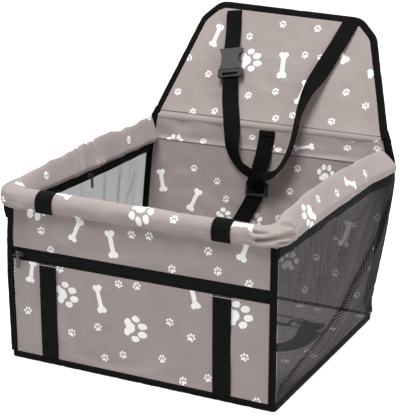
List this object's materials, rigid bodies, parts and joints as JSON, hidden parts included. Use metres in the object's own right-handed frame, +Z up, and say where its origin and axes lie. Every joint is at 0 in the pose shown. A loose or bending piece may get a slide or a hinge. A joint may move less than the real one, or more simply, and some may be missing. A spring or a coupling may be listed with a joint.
{
  "type": "dog car seat",
  "caption": "Folding cloth dog booster for a car, with mesh sides, a zipped front pocket, a padded tube rim, a headrest flap with buckled straps and a tether with a snap hook.",
  "frame": {"origin": "middle of the base's underside, on the surface it stands on", "axes": "+X to the viewer's right, +Y towards the headrest, +Z up"},
  "size_m": [0.412, 0.5046, 0.43],
  "materials": {
    "canvas": "taupe printed canvas with off-white paw and bone figures",
    "binding": "black edge tape",
    "webbing": "black woven strap",
    "mesh": "black net cloth",
    "board": "grey-white stiffener board",
    "padding": "thin white foam",
    "pipe": "white pipe",
    "joint": "black moulded plastic",
    "buckle": "dark grey moulded plastic",
    "steel": "dark plated metal"
  },
  "bodies": {
    "base": {"base_cover_under": "canvas", "base_board": "board", "base_cover_inner": "canvas", "base_binding": "binding", "pocket_panel": "canvas", "front_upper_panel": "canvas", "front_lining": "canvas", "front_strap_left": "webbing", "front_strap_right": "webbing", "front_binding_left": "binding", "front_binding_right": "binding", "side_mesh_left": "mesh", "side_mesh_right": "mesh", "back_lining": "canvas", "back_padding": "padding", "back_cover": "canvas", "back_binding_left": "binding", "back_binding_right": "binding", "tether_tail": "webbing", "tether_eye": "steel"},
    "rim": {"front_rim_sleeve": "canvas", "left_rim_sleeve": "canvas", "right_rim_sleeve": "canvas", "band_sleeve": "canvas", "rim_tube_front": "pipe", "rim_tube_left": "pipe", "rim_tube_right": "pipe", "rim_tube_back": "pipe", "rim_corner_left": "joint", "rim_corner_right": "joint", "rim_loop_left": "webbing", "rim_loop_right": "webbing", "mesh_binding_left": "binding", "mesh_binding_right": "binding", "rim_zip_tape": "binding", "band_binding_left": "binding", "band_binding_right": "binding", "tether_upper": "webbing", "headrest_strap_lower": "webbing", "headrest_strap_right": "webbing"},
    "pocket_zip": {"pocket_zip_tape": "binding"},
    "pocket_slider": {"pocket_zip_slider": "steel"},
    "pocket_puller": {"pocket_zip_puller": "steel"},
    "rim_slider": {"rim_zip_slider": "steel"},
    "rim_puller": {"rim_zip_puller": "steel"},
    "headrest": {"flap_lining": "canvas", "flap_padding": "padding", "flap_cover": "canvas", "flap_binding": "binding", "flap_hinge_cloth": "canvas", "headrest_strap_upper": "webbing", "buckle_housing": "buckle"},
    "plug": {"buckle_plug": "joint"},
    "prong_left": {"buckle_prong_left": "joint"},
    "prong_right": {"buckle_prong_right": "joint"},
    "adjuster": {"strap_adjuster": "joint"},
    "hook": {"snap_hook": "steel"},
    "gate": {"hook_gate": "steel"}
  },
  "joints": [
    {"name": "rim_drop", "type": "slide", "parent": "base", "child": "rim", "axis": [0, 0, -1], "range_m": [0, 0.145], "deforming": ["pocket_panel", "front_upper_panel", "front_lining", "front_strap_left", "front_strap_right", "front_binding_left", "front_binding_right", "side_mesh_left", "side_mesh_right", "back_lining", "back_padding", "back_cover", "back_binding_left", "back_binding_right", "tether_tail", "tether_upper"]},
    {"name": "zip_drop", "type": "slide", "parent": "base", "child": "pocket_zip", "axis": [0, 0, -1], "range_m": [0, 0.1005]},
    {"name": "flap_fold", "type": "hinge", "parent": "rim", "child": "headrest", "pos_m": [0, 0.23118, 0.26488], "axis": [1, 0, 0], "range_deg": [-100, 116], "deforming": ["headrest_strap_lower", "headrest_strap_right", "flap_hinge_cloth"]},
    {"name": "pocket_zip_slide", "type": "slide", "parent": "pocket_zip", "child": "pocket_slider", "axis": [1, 0, 0], "range_m": [0, 0.357]},
    {"name": "pocket_puller_swing", "type": "hinge", "parent": "pocket_slider", "child": "pocket_puller", "pos_m": [-0.1787, -0.1868, 0.154], "axis": [-1, 0, 0], "range_deg": [0, 170]},
    {"name": "rim_zip_slide", "type": "slide", "parent": "rim", "child": "rim_slider", "axis": [0, 1, 0], "range_m": [-0.175, 0.165]},
    {"name": "rim_puller_swing", "type": "hinge", "parent": "rim_slider", "child": "rim_puller", "pos_m": [-0.1889, 0.025, 0.2117], "axis": [0, -1, 0], "range_deg": [0, 130]},
    {"name": "buckle_release", "type": "slide", "parent": "headrest", "child": "plug", "axis": [0.1676, -0.4368, -0.8838], "range_m": [0, 0.035], "deforming": ["headrest_strap_lower"]},
    {"name": "prong_left_squeeze", "type": "hinge", "parent": "plug", "child": "prong_left", "pos_m": [-0.08662, 0.25847, 0.33883], "axis": [0, 0.8965, -0.4431], "range_deg": [0, 6], "stiffness_Nm_per_rad": 0.5},
    {"name": "prong_right_squeeze", "type": "hinge", "parent": "plug", "child": "prong_right", "pos_m": [-0.06198, 0.26032, 0.34258], "axis": [0, -0.8965, 0.4431], "range_deg": [0, 6], "stiffness_Nm_per_rad": 0.5},
    {"name": "adjuster_slide", "type": "slide", "parent": "rim", "child": "adjuster", "axis": [0, 0.2079, 0.9781], "range_m": [-0.01, 0.014], "deforming": ["headrest_strap_lower", "headrest_strap_right"]},
    {"name": "hook_swivel", "type": "hinge", "parent": "base", "child": "hook", "pos_m": [0.1, 0.081, 0.0173], "axis": [1, 0, 0], "continuous": true},
    {"name": "hook_gate_open", "type": "hinge", "parent": "hook", "child": "gate", "pos_m": [0.116, 0.081, 0.0213], "axis": [0, -1, 0], "range_deg": [0, 20], "stiffness_Nm_per_rad": 0.05}
  ],
  "couplings": [
    {"joint": "zip_drop", "follows": "rim_drop", "ratio": 0.693},
    {"joint": "prong_right_squeeze", "follows": "prong_left_squeeze", "ratio": 1}
  ]
}
